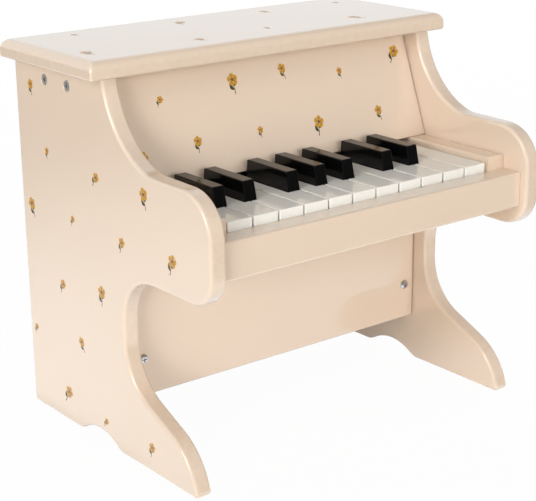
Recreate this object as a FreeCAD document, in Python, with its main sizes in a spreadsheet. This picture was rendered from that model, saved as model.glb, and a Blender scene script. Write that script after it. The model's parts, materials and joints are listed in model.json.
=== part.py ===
import FreeCAD, Part
import math
import operator
import os
import Sketcher
from types import SimpleNamespace

# A toy upright piano, in millimetres. The origin lies on the floor under the middle of the case, X runs
# along the keyboard to the right, the keys face -Y and Z is up. A reach is a distance forward of the back
# edge of the side panels, and a height is measured from the floor.

SIZES = {
    # side panels: the case edges, then the corners of the profile from the lid down to the floor
    "panel_thickness": 15.0,
    "panel_depth": 282.0,
    "panel_height": 319.0,
    "panel_edge_round": 3.0,
    "top_reach": 140.5,
    "shoulder_reach": 153.1,
    "shoulder_height": 268.9,
    "shoulder_round": 80.0,
    "arm_reach": 200.0,
    "arm_rear_height": 252.7,
    "arm_rear_round": 30.0,
    "arm_front_height": 251.5,
    "arm_round": 36.0,
    "arm_underside": 163.4,
    "chin_round": 27.0,
    "leg_reach": 158.5,
    "knee_round": 42.0,
    "waist_height": 71.2,
    "waist_round": 51.4,
    "toe_reach": 247.2,
    "toe_height": 33.1,
    "toe_round": 61.4,
    "sole_reach": 257.5,
    "sole_round": 4.0,
    "arch_front_reach": 145.0,
    "arch_rear_reach": 81.0,
    "arch_peak_height": 17.0,
    "arch_peak_round": 50.0,
    "arch_foot_round": 15.0,
    "heel_round": 4.0,
    # lid
    "lid_thickness": 15.0,
    "lid_side_overhang": 13.4,
    "lid_front_overhang": 6.9,
    "lid_round": 8.0,
    "lid_under_round": 2.0,
    # panels between the sides
    "panel_end_gap": 1.1,
    "upper_foot_reach": 156.1,
    "upper_top_reach": 121.3,
    "upper_depth": 12.8,
    "upper_round": 1.2,
    "lower_reach": 142.9,
    "lower_thickness": 12.0,
    "lower_bottom": 44.0,
    "lower_round": 1.5,
    "back_thickness": 5.0,
    "back_recess": 3.0,
    # bed, keyboard rail and end blocks
    "bed_top": 195.0,
    "bed_thickness": 12.0,
    "slip_setback": 7.5,
    "slip_depth": 20.0,
    "slip_drop": 0.7,
    "slip_height": 31.1,
    "slip_key_gap": 1.5,
    "slip_end_gap": 0.3,
    "slip_round": 1.8,
    "block_width": 19.9,
    "block_key_gap": 1.5,
    "block_rise": 30.5,
    "block_tail": 8.3,
    "block_round": 2.0,
    # keys
    "key_pitch": 25.4,
    "key_gap": 1.6,
    "key_rise": 12.0,
    "key_thickness": 14.0,
    "key_tail_reach": 44.0,
    "key_wall": 2.2,
    "key_edge_round": 0.8,
    "key_drop": 6.6,
    "hollow_rear_reach": 150.0,
    "black_width": 12.3,
    "black_taper": 0.6,
    "black_setback": 37.5,
    "black_lean": 3.2,
    "black_rear_gap": 2.9,
    "black_rise": 16.0,
    "black_side_gap": 1.2,
    "black_front_gap": 1.0,
    "black_round": 0.9,
    # pivots and felts
    "key_pivot_reach": 112.0,
    "key_pivot_rise": 5.0,
    "key_rod_radius": 2.5,
    "hammer_pivot_reach": 34.0,
    "hammer_pivot_rise": 5.0,
    "hammer_rod_radius": 2.0,
    "rod_clearance": 0.08,
    "rod_seat_depth": 8.0,
    "rod_end_gap": 0.5,
    "rod_seat_clearance": 0.05,
    "stop_felt_inset": 3.0,
    "stop_felt_width": 16.0,
    "felt_gap": 0.4,
    "rest_rail_reach": 68.0,
    "rest_rail_width": 14.0,
    "rest_felt_thickness": 3.0,
    # hammers
    "hammer_width": 6.0,
    "hub_radius": 5.0,
    "hub_gap": 1.0,
    "foot_inset": 6.0,
    "foot_radius": 3.0,
    "foot_gap": 0.4,
    "shank_height": 5.0,
    "head_depth": 7.0,
    "head_round": 3.0,
    "hammer_throw": 7.6,
    "strike_gap": 0.6,
    # tone bars and their rails
    "bar_rise": 27.0,
    "bar_thickness": 3.0,
    "bar_width": 11.0,
    "longest_bar": 100.0,
    "bar_reach": 78.0,
    "tone_rail_width": 10.0,
    "tone_rail_height": 12.0,
    "tone_felt_width": 7.0,
    "tone_felt_thickness": 2.0,
    "pin_radius": 1.25,
    "pin_depth": 8.0,
    "pin_clearance": 0.1,
    "pin_head_radius": 2.6,
    "pin_head_height": 1.2,
    # rail under the lid, and cleats
    "lid_rail_thickness": 28.0,
    "lid_rail_reach": 104.0,
    "lid_rail_depth": 72.0,
    "lower_cleat_width": 24.0,
    "lower_cleat_depth": 18.0,
    "cleat_foot_gap": 6.0,
    "back_cleat_width": 18.0,
    "back_cleat_depth": 18.0,
    # screws
    "side_screw_spacing": 36.0,
    "side_screw_radius": 4.65,
    "side_screw_shank": 2.0,
    "side_screw_length": 45.0,
    "side_screw_sink": 0.3,
    "pan_head_radius": 4.4,
    "pan_head_height": 2.6,
    "pan_rim_height": 1.0,
    "pan_head_round": 1.4,
    "pan_shank_radius": 1.75,
    "pan_length": 22.0,
    "screw_clearance": 0.1,
    "screw_point": 3.0,
    "cross_arm": 2.3,
    "cross_width": 1.1,
    "cross_depth": 1.4,
    "lower_screw_height": 77.6,
    "back_screw_margin": 25.0,
    # cuts run past the faces they open by this much
    "overrun": 2.0,
}

WHITE_KEYS = 11
# white and black keys in the order of one octave
OCTAVE = "wbwbwwbwbwbw"
SEMITONES = len(OCTAVE)
NATURALS = OCTAVE.count("w")
# the free length of a bar has its still points at this share of the length from each end
NODE_SHARE = 0.224
# rounded corners use no more than this share of the edge between them
EDGE_SHARE = 0.98

OPERATIONS = {"+": operator.add, "-": operator.sub, "*": operator.mul, "/": operator.truediv}


class Size:
    """A length or a number: the sheet's expression for it, and what that gives now."""

    def __init__(self, text, value):
        self.text = text
        self.value = value

    def __add__(self, other):
        return combine(self, "+", other)

    def __sub__(self, other):
        return combine(self, "-", other)

    def __rsub__(self, other):
        return combine(other, "-", self)

    def __mul__(self, other):
        return combine(self, "*", other)

    def __rmul__(self, other):
        return combine(other, "*", self)

    def __truediv__(self, other):
        return combine(self, "/", other)

    def __neg__(self):
        return combine(0, "-", self)


def as_size(number):
    """A plain number as a size, and a size as it is."""
    return number if isinstance(number, Size) else Size(f"({number!r})", number)


def combine(left, sign, right):
    """One size from two sizes, or from a size and a plain number."""
    left = as_size(left)
    right = as_size(right)
    return Size(f"({left.text} {sign} {right.text})", OPERATIONS[sign](left.value, right.value))


doc = FreeCAD.newDocument("toy_piano")
sheet = doc.addObject("Spreadsheet::Sheet", "sizes")
for row, (alias, number) in enumerate(SIZES.items(), 1):
    sheet.set(f"A{row}", alias)
    sheet.set(f"B{row}", str(number))
    sheet.setAlias(f"B{row}", alias)
doc.recompute()
S = SimpleNamespace(**{alias: Size(f"sizes.{alias}", sheet.get(alias)) for alias in SIZES})

# places that several pieces share
half_keyboard = WHITE_KEYS / 2 * S.key_pitch
inner_half = half_keyboard + S.block_key_gap + S.block_width
outer_half = inner_half + S.panel_thickness
semitone = NATURALS / SEMITONES * S.key_pitch
slip_reach = S.panel_depth - S.slip_setback
slip_rear_reach = slip_reach - S.slip_depth
key_reach = slip_rear_reach - S.slip_key_gap
black_reach = key_reach - S.black_setback
bed_underside = S.bed_top - S.bed_thickness
block_height = S.bed_top + S.block_rise
key_underside = S.bed_top + S.key_rise
key_height = key_underside + S.key_thickness
key_pivot_height = key_underside + S.key_pivot_rise
hammer_pivot_height = key_height + S.hammer_pivot_rise
bar_underside = hammer_pivot_height + S.bar_rise
tone_rail_top = bar_underside - S.tone_felt_thickness
lid_rail_underside = S.panel_height - S.lid_rail_thickness
side_screw_height = S.panel_height - S.lid_rail_thickness / 2
back_inner_reach = S.back_recess + S.back_thickness

nodes = {}
pockets = []


def at(reach):
    """The Y place of a reach."""
    return S.panel_depth / 2 - reach


def bind(target, **sizes):
    """Tie properties to sizes."""
    for name, size in sizes.items():
        target.setExpression(name, as_size(size).text)


def place(target, x, y, z):
    """Tie an object's place to sizes."""
    for axis, size in zip("xyz", (x, y, z)):
        target.setExpression(f"Placement.Base.{axis}", as_size(size).text)


def keep(label, target):
    """Name a finished sub-part, which names its file."""
    target.Label = label
    nodes[label] = target


def box(name, width, depth, height, x, y, z):
    """A board by its three sizes and its lowest corner."""
    board = doc.addObject("Part::Box", name)
    bind(board, Length=width, Width=depth, Height=height)
    place(board, x, y, z)
    return board


def rod(name, radius, length, axis, x, y, z):
    """A cylinder from a point along an axis."""
    cylinder = doc.addObject("Part::Cylinder", name)
    cylinder.Placement.Rotation = FreeCAD.Rotation(FreeCAD.Vector(0, 0, 1), axis)
    bind(cylinder, Radius=radius, Height=length)
    place(cylinder, x, y, z)
    return cylinder


def group(label, members):
    """Separate solids that share one node."""
    compound = doc.addObject("Part::Compound", label)
    compound.Links = members
    return compound


def fuse(name, members):
    """One shape from several."""
    joined = doc.addObject("Part::MultiFuse", name)
    joined.Shapes = members
    return joined


def cut(name, base, tools):
    """A shape with holes or recesses."""
    result = doc.addObject("Part::Cut", name)
    result.Base = base
    result.Tool = tools[0] if len(tools) == 1 else fuse(f"{name}_tools", tools)
    return result


def new_body(name, x=0, y=0, z=0):
    """An empty body at its place."""
    body = doc.addObject("PartDesign::Body", name)
    place(body, x, y, z)
    return body


def new_sketch(body, role, name, lift=None):
    """A sketch on one of the body's own origin planes, or lifted from it."""
    sketch = body.newObject("Sketcher::SketchObject", name)
    plane = next(feature for feature in body.Origin.OriginFeatures if feature.Role == role)
    sketch.AttachmentSupport = [(plane, "")]
    sketch.MapMode = "FlatFace"
    if lift is not None:
        sketch.setExpression("AttachmentOffset.Base.z", lift.text)
    return sketch


def hold(sketch, kind, targets, size):
    """A dimension of a sketch, tied to a size."""
    dimension = Sketcher.Constraint(kind, *targets, size.value)
    dimension.Name = f"{kind}_{sketch.ConstraintCount}"
    sketch.addConstraint(dimension)
    sketch.setExpression(f"Constraints.{dimension.Name}", size.text)


def hold_point(sketch, geometry, point, across, along):
    """A sketch point held at its two coordinates."""
    origin = (-1, 1)
    hold(sketch, "DistanceX", (*origin, geometry, point), as_size(across))
    hold(sketch, "DistanceY", (*origin, geometry, point), as_size(along))


def draw_polygon(sketch, corners):
    """A closed outline of straight edges through corners given in sizes."""
    first = sketch.GeometryCount
    points = [FreeCAD.Vector(as_size(u).value, as_size(v).value, 0) for u, v in corners]
    count = len(points)
    sketch.addGeometry([Part.LineSegment(points[i], points[(i + 1) % count]) for i in range(count)], False)
    sketch.addConstraint([
        Sketcher.Constraint("Coincident", first + i, 2, first + (i + 1) % count, 1) for i in range(count)
    ])
    for i, (u, v) in enumerate(corners):
        hold_point(sketch, first + i, 1, u, v)


def draw_circle(sketch, across, along, radius):
    """A circle by its centre and radius."""
    centre = FreeCAD.Vector(as_size(across).value, as_size(along).value, 0)
    index = sketch.addGeometry(Part.Circle(centre, FreeCAD.Vector(0, 0, 1), radius.value), False)
    hold_point(sketch, index, 3, across, along)
    hold(sketch, "Radius", (index,), radius)


def rectangle(low_u, low_v, high_u, high_v):
    """The corners of an upright rectangle."""
    return [(low_u, low_v), (high_u, low_v), (high_u, high_v), (low_u, high_v)]


def pad(body, sketch, length, symmetric=False):
    """A sketch made solid along its normal, or half to each side of its plane."""
    feature = body.newObject("PartDesign::Pad", f"{sketch.Name}_pad")
    feature.Profile = sketch
    feature.SideType = "Symmetric" if symmetric else "One side"
    bind(feature, Length=length)


def pocket(body, sketch, depth, upward=False, symmetric=False):
    """A sketch cut out of the body, against its normal unless it is turned upward."""
    feature = body.newObject("PartDesign::Pocket", f"{sketch.Name}_pocket")
    feature.Profile = sketch
    feature.SideType = "Symmetric" if symmetric else "One side"
    feature.Reversed = upward
    bind(feature, Length=depth)
    pockets.append(feature)


def round_edges(body, radius, chosen):
    """A fillet on the body's edges that the test chooses."""
    doc.recompute()
    base = body.Tip
    names = [f"Edge{i}" for i, edge in enumerate(base.Shape.Edges, 1) if chosen(edge)]
    if not names:
        raise RuntimeError(f"{body.Name} has no edge to round")
    feature = body.newObject("PartDesign::Fillet", f"{body.Name}_round")
    feature.Base = (base, names)
    bind(feature, Radius=radius)


def middle(edge):
    """The point half way along an edge."""
    return edge.valueAt((edge.FirstParameter + edge.LastParameter) / 2)


def near(value, size):
    """Whether a coordinate lies at a size."""
    return math.isclose(value, as_size(size).value, abs_tol=Part.Precision.approximation())


def runs_along(edge, axis):
    """Whether an edge is straight and parallel to an axis."""
    if edge.Curve.TypeId != "Part::GeomLine":
        return False
    start, end = edge.Vertexes
    span = end.Point - start.Point
    return near(abs(span.dot(axis)), span.Length)


X_AXIS = FreeCAD.Vector(1, 0, 0)
Y_AXIS = FreeCAD.Vector(0, 1, 0)
Z_AXIS = FreeCAD.Vector(0, 0, 1)


def profile_corners():
    """The side panel's corners with their rounding, from the back of the floor upward and round."""
    peak_reach = (S.arch_front_reach + S.arch_rear_reach) / 2
    return [
        (0, 0, S.heel_round),
        (0, S.panel_height, None),
        (S.top_reach, S.panel_height, None),
        (S.shoulder_reach, S.shoulder_height, S.shoulder_round),
        (S.arm_reach, S.arm_rear_height, S.arm_rear_round),
        (S.panel_depth, S.arm_front_height, S.arm_round),
        (S.panel_depth, S.arm_underside, S.chin_round),
        (S.leg_reach, S.arm_underside, S.knee_round),
        (S.leg_reach, S.waist_height, S.waist_round),
        (S.toe_reach, S.toe_height, S.toe_round),
        (S.sole_reach, 0, S.sole_round),
        (S.arch_front_reach, 0, S.arch_foot_round),
        (peak_reach, S.arch_peak_height, S.arch_peak_round),
        (S.arch_rear_reach, 0, S.arch_foot_round),
    ]


def fitted_rounds(corners):
    """Corner radii, each limited so that two neighbours fit on the edge between them."""
    points = [FreeCAD.Vector(at(reach).value, as_size(height).value, 0) for reach, height, _ in corners]
    count = len(points)
    lengths = [(points[(i + 1) % count] - points[i]).Length for i in range(count)]
    tangents = []
    for i, (_, _, radius) in enumerate(corners):
        turn = (points[i] - points[i - 1]).getAngle(points[(i + 1) % count] - points[i])
        tangents.append(radius.value * math.tan(turn / 2) if radius else 0)
    room = []
    for i in range(count):
        taken = tangents[i] + tangents[(i + 1) % count]
        room.append(min(1, EDGE_SHARE * lengths[i] / taken) if taken else 1)
    return [radius and radius * min(room[i - 1], room[i]) for i, (_, _, radius) in enumerate(corners)]


def side_panel(label, side):
    """A profiled side board with holes for the two rods and the lid rail's screws."""
    left_face = inner_half if side > 0 else -outer_half
    body = new_body(f"{label}_board", x=left_face)
    sketch = new_sketch(body, "YZ_Plane", f"{label}_profile")
    corners = profile_corners()
    draw_polygon(sketch, [(at(reach), height) for reach, height, _ in corners])
    pad(body, sketch, S.panel_thickness)
    for (reach, height, _), radius in zip(corners, fitted_rounds(corners)):
        if radius:
            round_edges(body, radius, lambda edge: (
                runs_along(edge, X_AXIS)
                and near(middle(edge).y, at(reach)) and near(middle(edge).z, height)))
    round_edges(body, S.panel_edge_round, lambda edge: (
        not runs_along(edge, X_AXIS) and not near(middle(edge).z, S.panel_height)))
    inner_face = side * inner_half
    inward = X_AXIS * -side
    tools = []
    for name, reach, height, radius in (
        ("key", S.key_pivot_reach, key_pivot_height, S.key_rod_radius),
        ("hammer", S.hammer_pivot_reach, hammer_pivot_height, S.hammer_rod_radius),
    ):
        bottom = inner_face + side * S.rod_seat_depth
        tools.append(rod(f"{label}_{name}_seat", radius + S.rod_seat_clearance,
                         S.rod_seat_depth + S.overrun, inward, bottom, at(reach), height))
    for reach in side_screw_reaches():
        name = f"{label}_screw_hole_{len(tools)}"
        tools.append(rod(name, S.side_screw_shank + S.screw_clearance, S.panel_thickness + S.overrun,
                         inward, side * outer_half, at(reach), side_screw_height))
        tools.append(countersink(f"{name}_sink", side, reach))
    keep(label, cut(label, body, tools))


def side_screw_reaches():
    """The two screws into each end of the lid rail."""
    centre = S.lid_rail_reach - S.lid_rail_depth / 2
    return (centre - S.side_screw_spacing / 2, centre + S.side_screw_spacing / 2)


def countersink(name, side, reach):
    """The right-angled conical seat of a side screw, open at the outer face."""
    cone = doc.addObject("Part::Cone", name)
    cone.Placement.Rotation = FreeCAD.Rotation(Z_AXIS, X_AXIS * -side)
    wide = S.side_screw_radius + S.screw_clearance + S.side_screw_sink
    narrow = S.side_screw_shank + S.screw_clearance
    bind(cone, Radius1=wide, Radius2=narrow, Height=wide - narrow)
    place(cone, side * outer_half, at(reach), side_screw_height)
    return cone


def lid():
    """The top board, with a quarter round on its upper edges."""
    half_length = outer_half + S.lid_side_overhang
    front = at(S.top_reach + S.lid_front_overhang)
    body = new_body("lid_board", z=S.panel_height)
    sketch = new_sketch(body, "XY_Plane", "lid_outline")
    draw_polygon(sketch, rectangle(-half_length, front, half_length, at(0)))
    pad(body, sketch, S.lid_thickness)
    round_edges(body, S.lid_under_round, lambda edge: runs_along(edge, Z_AXIS))
    round_edges(body, S.lid_round, lambda edge: near(middle(edge).z, S.lid_thickness))
    round_edges(body, S.lid_under_round, lambda edge: near(middle(edge).z, 0))
    keep("lid", body)


def upper_front_panel():
    """The board behind the keys: it stands on the key blocks and leans back to the lid."""
    body = new_body("upper_board")
    sketch = new_sketch(body, "YZ_Plane", "upper_section")
    draw_polygon(sketch, [
        (at(S.upper_foot_reach), block_height),
        (at(S.upper_foot_reach - S.upper_depth), block_height),
        (at(S.upper_top_reach - S.upper_depth), S.panel_height),
        (at(S.upper_top_reach), S.panel_height),
    ])
    pad(body, sketch, 2 * (inner_half - S.panel_end_gap), symmetric=True)
    round_edges(body, S.upper_round, lambda edge: (
        near(middle(edge).y, at(S.upper_foot_reach)) and near(middle(edge).z, block_height)))
    keep("upper_front_panel", body)


def lower_front_panel():
    """The board below the bed, with a screw near each end."""
    half_length = inner_half - S.panel_end_gap
    body = new_body("lower_board", z=S.lower_bottom)
    sketch = new_sketch(body, "XY_Plane", "lower_outline")
    front = at(S.lower_reach)
    draw_polygon(sketch, rectangle(-half_length, front, half_length, front + S.lower_thickness))
    pad(body, sketch, bed_underside - S.lower_bottom)
    round_edges(body, S.lower_round, lambda edge: (
        runs_along(edge, X_AXIS) and near(middle(edge).y, front) and near(middle(edge).z, 0)))
    holes = [rod(f"lower_screw_hole_{i}", S.pan_shank_radius + S.screw_clearance,
                 S.lower_thickness + 2 * S.overrun, Y_AXIS, x, front - S.overrun, S.lower_screw_height)
             for i, x in enumerate(lower_screw_places())]
    keep("lower_front_panel", cut("lower_front_panel", body, holes))


def lower_screw_places():
    """The X places of the lower panel's screws, over the middle of its cleats."""
    across = inner_half - S.lower_cleat_width / 2
    return (-across, across)


def back_panel():
    """The thin board that closes the back, set in between the side panels."""
    half_length = inner_half - S.panel_end_gap
    board = box("back_board", 2 * half_length, S.back_thickness, S.panel_height - S.lower_bottom,
                -half_length, at(back_inner_reach), S.lower_bottom)
    holes = [rod(f"back_screw_hole_{i}", S.pan_shank_radius + S.screw_clearance,
                 S.back_thickness + 2 * S.overrun, Y_AXIS, x, at(back_inner_reach) - S.overrun, z)
             for i, (x, z) in enumerate(back_screw_places())]
    keep("back_panel", cut("back_panel", board, holes))


def back_screw_places():
    """X and Z of the back panel's screws, near both ends of every back cleat."""
    across = inner_half - S.back_cleat_width / 2
    heights = [height for low, high in back_cleat_spans()
               for height in (low + S.back_screw_margin, high - S.back_screw_margin)]
    return [(x, height) for x in (-across, across) for height in heights]


def back_cleat_spans():
    """The heights between which the back cleats run, below and above the bed."""
    return ((S.lower_bottom + S.cleat_foot_gap, bed_underside), (S.bed_top, lid_rail_underside))


def key_slip():
    """The rail across the front of the keyboard."""
    half_length = inner_half - S.slip_end_gap
    body = new_body("slip_board", z=bed_underside - S.slip_drop)
    sketch = new_sketch(body, "XY_Plane", "slip_outline")
    front = at(slip_reach)
    draw_polygon(sketch, rectangle(-half_length, front, half_length, at(slip_rear_reach)))
    pad(body, sketch, S.slip_height)
    round_edges(body, S.slip_round, lambda edge: runs_along(edge, X_AXIS) and near(middle(edge).y, front))
    keep("key_slip", body)


def key_block(label, side):
    """The block between the outermost key and the side panel, which also carries the upper panel."""
    inner = side * (half_keyboard + S.block_key_gap)
    outer = side * inner_half
    body = new_body(f"{label}_body", z=S.bed_top)
    sketch = new_sketch(body, "XY_Plane", f"{label}_outline")
    low, high = (inner, outer) if side > 0 else (outer, inner)
    front = at(slip_rear_reach)
    rear = at(S.upper_foot_reach - S.upper_depth - S.block_tail)
    draw_polygon(sketch, rectangle(low, front, high, rear))
    pad(body, sketch, S.block_rise)
    round_edges(body, S.block_round, lambda edge: (
        near(middle(edge).z, S.block_rise) and not near(middle(edge).y, rear)))
    keep(label, body)


def key_bed():
    """The board under the keys, from the slip to the back panel."""
    depth = slip_rear_reach - back_inner_reach
    keep("key_bed", box("key_bed", 2 * inner_half, depth, S.bed_thickness,
                        -inner_half, at(slip_rear_reach), bed_underside))


def lid_rail():
    """The rail under the lid that ties the two side panels."""
    board = box("lid_rail_board", 2 * inner_half, S.lid_rail_depth, S.lid_rail_thickness,
                -inner_half, at(S.lid_rail_reach), lid_rail_underside)
    depth = S.side_screw_length - S.panel_thickness + S.overrun
    pilots = []
    for side in (-1, 1):
        for reach in side_screw_reaches():
            name = f"lid_rail_pilot_{len(pilots)}"
            start = side * (inner_half + S.overrun)
            pilots.append(rod(name, S.side_screw_shank + S.screw_clearance, depth + S.overrun,
                              X_AXIS * -side, start, at(reach), side_screw_height))
    keep("lid_rail", cut("lid_rail", board, pilots))


def pivot_rod(label, radius, reach, height):
    """A steel rod whose ends sit in blind holes in both side panels."""
    half_length = inner_half + S.rod_seat_depth - S.rod_end_gap
    keep(label, rod(label, radius, 2 * half_length, X_AXIS, -half_length, at(reach), height))


def key_rests():
    """The rail and felts under the keys: one stops the fronts, the other carries the tails."""
    span = 2 * half_keyboard
    stop_height = key_underside - S.key_drop - S.felt_gap - S.bed_top
    stop = box("stop_felt", span, S.stop_felt_width, stop_height,
               -half_keyboard, at(key_reach - S.stop_felt_inset), S.bed_top)
    felt_top = key_underside - S.felt_gap
    rail_top = felt_top - S.rest_felt_thickness
    rest = box("rest_felt", span, S.rest_rail_width, S.rest_felt_thickness,
               -half_keyboard, at(S.rest_rail_reach), rail_top)
    keep("key_felts", group("key_felts", [stop, rest]))
    keep("key_rest_rail", box("key_rest_rail", span, S.rest_rail_width, rail_top - S.bed_top,
                              -half_keyboard, at(S.rest_rail_reach), S.bed_top))


def slot_centre(note):
    """The X of a key's tail and hammer: twelve even slots to an octave."""
    return (note + 0.5) * semitone - half_keyboard


def is_sharp(note):
    """Whether a note is played by a black key."""
    return OCTAVE[note % SEMITONES] == "b"


def key_bore(body, name):
    """The hole for the key rod, across the whole key."""
    sketch = new_sketch(body, "YZ_Plane", f"{name}_bore")
    draw_circle(sketch, at(S.key_pivot_reach), S.key_pivot_rise, S.key_rod_radius + S.rod_clearance)
    pocket(body, sketch, 2 * S.key_pitch, symmetric=True)


def white_key(number, note):
    """A moulded key: a full-width head, and a neck that makes room for the black keys beside it."""
    label = f"white_key_{number:02d}"
    head_low = (number - 1) * S.key_pitch + S.key_gap / 2 - half_keyboard
    head_high = number * S.key_pitch - S.key_gap / 2 - half_keyboard
    room = S.black_width / 2 + S.black_side_gap
    last_note = WHITE_NOTES[-1]
    neck_low = slot_centre(note - 1) + room if note > 0 and is_sharp(note - 1) else None
    neck_high = slot_centre(note + 1) - room if note < last_note and is_sharp(note + 1) else None
    front = at(key_reach)
    notch = at(black_reach + S.black_front_gap)
    tail = at(S.key_tail_reach)
    left = [(neck_low, tail), (neck_low, notch), (head_low, notch)] if neck_low else [(head_low, tail)]
    right = [(head_high, notch), (neck_high, notch), (neck_high, tail)] if neck_high else [(head_high, tail)]
    centre = slot_centre(note)
    body = new_body(label, x=centre, z=key_underside)
    sketch = new_sketch(body, "XY_Plane", f"{label}_outline")
    corners = [(head_low, front), (head_high, front), *right, *left]
    draw_polygon(sketch, [(x - centre, y) for x, y in corners])
    pad(body, sketch, S.key_thickness)
    hollow = new_sketch(body, "XY_Plane", f"{label}_hollow")
    inner_low = (neck_low or head_low) + S.key_wall - centre
    inner_high = (neck_high or head_high) - S.key_wall - centre
    rib = notch - S.key_wall
    draw_polygon(hollow, rectangle(head_low + S.key_wall - centre, front + S.key_wall,
                                   head_high - S.key_wall - centre, rib))
    draw_polygon(hollow, rectangle(inner_low, notch, inner_high, at(S.hollow_rear_reach)))
    pocket(body, hollow, S.key_thickness - S.key_wall, upward=True)
    key_bore(body, label)
    round_edges(body, S.key_edge_round, lambda edge: (
        near(middle(edge).z, S.key_thickness) and not near(middle(edge).y, tail)
        or runs_along(edge, Z_AXIS) and near(middle(edge).y, front)))
    keep(label, body)


def black_key(number, note):
    """A moulded key: a plain bar with a raised top that narrows and leans back a little at the front."""
    label = f"black_key_{number:02d}"
    half = S.black_width / 2
    front = at(black_reach)
    rear = at(S.upper_foot_reach + S.black_rear_gap)
    body = new_body(label, x=slot_centre(note), z=key_underside)
    bar = new_sketch(body, "XY_Plane", f"{label}_bar")
    draw_polygon(bar, rectangle(-half, front, half, at(S.key_tail_reach)))
    pad(body, bar, S.key_thickness)
    foot = new_sketch(body, "XY_Plane", f"{label}_foot", lift=S.key_thickness)
    draw_polygon(foot, rectangle(-half, front, half, rear))
    top = new_sketch(body, "XY_Plane", f"{label}_top", lift=S.key_thickness + S.black_rise)
    top_half = half - S.black_taper
    draw_polygon(top, rectangle(-top_half, front + S.black_lean, top_half, rear - S.black_taper))
    raised = body.newObject("PartDesign::AdditiveLoft", f"{label}_raised")
    raised.Profile = foot
    raised.Sections = [top]
    raised.Ruled = True
    key_bore(body, label)
    top_height = S.key_thickness + S.black_rise
    round_edges(body, S.black_round, lambda edge: (
        near(middle(edge).z, top_height)
        or edge.BoundBox.YMax < (front + 2 * S.black_lean).value and not runs_along(edge, X_AXIS)))
    keep(label, body)


def hammer(note):
    """A moulded hammer: a hub on the rod, a foot on the key's tail and a head under the tone bar."""
    label = f"hammer_{note + 1:02d}"
    body = new_body(label, x=slot_centre(note), y=at(S.hammer_pivot_reach), z=hammer_pivot_height)
    half_shank = S.shank_height / 2
    head_arm = S.bar_reach - S.hammer_pivot_reach
    foot_arm = S.key_tail_reach + S.foot_inset - S.hammer_pivot_reach
    head_rear = S.head_depth / 2 - head_arm
    head_front = -S.head_depth / 2 - head_arm
    head_top = S.bar_rise - S.hammer_throw - S.strike_gap
    arm = new_sketch(body, "YZ_Plane", f"{label}_arm")
    draw_polygon(arm, [
        (0, -half_shank), (0, half_shank), (head_rear, half_shank), (head_rear, head_top),
        (head_front, head_top), (head_front, -half_shank),
    ])
    pad(body, arm, S.hammer_width, symmetric=True)
    hub = new_sketch(body, "YZ_Plane", f"{label}_hub")
    draw_circle(hub, 0, 0, S.hub_radius)
    pad(body, hub, semitone - S.hub_gap, symmetric=True)
    foot = new_sketch(body, "YZ_Plane", f"{label}_foot")
    foot_height = S.foot_gap + S.foot_radius - S.hammer_pivot_rise
    draw_circle(foot, -foot_arm, foot_height, S.foot_radius)
    pad(body, foot, S.hammer_width, symmetric=True)
    bore = new_sketch(body, "YZ_Plane", f"{label}_bore")
    draw_circle(bore, 0, 0, S.hammer_rod_radius + S.rod_clearance)
    pocket(body, bore, 2 * semitone, symmetric=True)
    round_edges(body, S.head_round, lambda edge: runs_along(edge, X_AXIS) and near(middle(edge).z, head_top))
    keep(label, body)


def bar_length(note):
    """Twice the pitch needs a bar shorter by the square root of two."""
    return 2 ** (-note / (2 * SEMITONES)) * S.longest_bar


def node_offset(across):
    """How far the rails lie from the middle of the bars at a place along X, on a straight line."""
    share = 0.5 - NODE_SHARE
    first, last = slot_centre(0), slot_centre(LAST_NOTE)
    start, end = share * bar_length(0), share * bar_length(LAST_NOTE)
    return start + (end - start) * ((across - first) / (last - first))


def tone_rail_outline(side, half_width):
    """A rail's plan: it draws in towards the short bars."""
    corners = []
    for across, edge in ((-inner_half, -1), (inner_half, -1), (inner_half, 1), (-inner_half, 1)):
        corners.append((across, at(S.bar_reach) + side * node_offset(across) + edge * half_width))
    return corners


def tone_strip(name, side, width, thickness, height):
    """A strip along one of the two lines of still points."""
    body = new_body(name, z=height)
    sketch = new_sketch(body, "XY_Plane", f"{name}_plan")
    draw_polygon(sketch, tone_rail_outline(side, width / 2))
    pad(body, sketch, thickness)
    return body


def pin_places(side):
    """Where the pins on one rail stand."""
    for note in range(LAST_NOTE + 1):
        across = slot_centre(note)
        yield note, across, at(S.bar_reach) + side * node_offset(across)


def pin_holes(name, sides):
    """Drills for the pins, through bars, felts and into the rails."""
    bottom = tone_rail_top - S.pin_depth
    depth = bar_underside + S.bar_thickness + S.overrun - bottom
    radius = S.pin_radius + S.pin_clearance
    return [rod(f"{name}_hole_{side + 1}_{note}", radius, depth, Z_AXIS, x, y, bottom)
            for side in sides for note, x, y in pin_places(side)]


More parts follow.
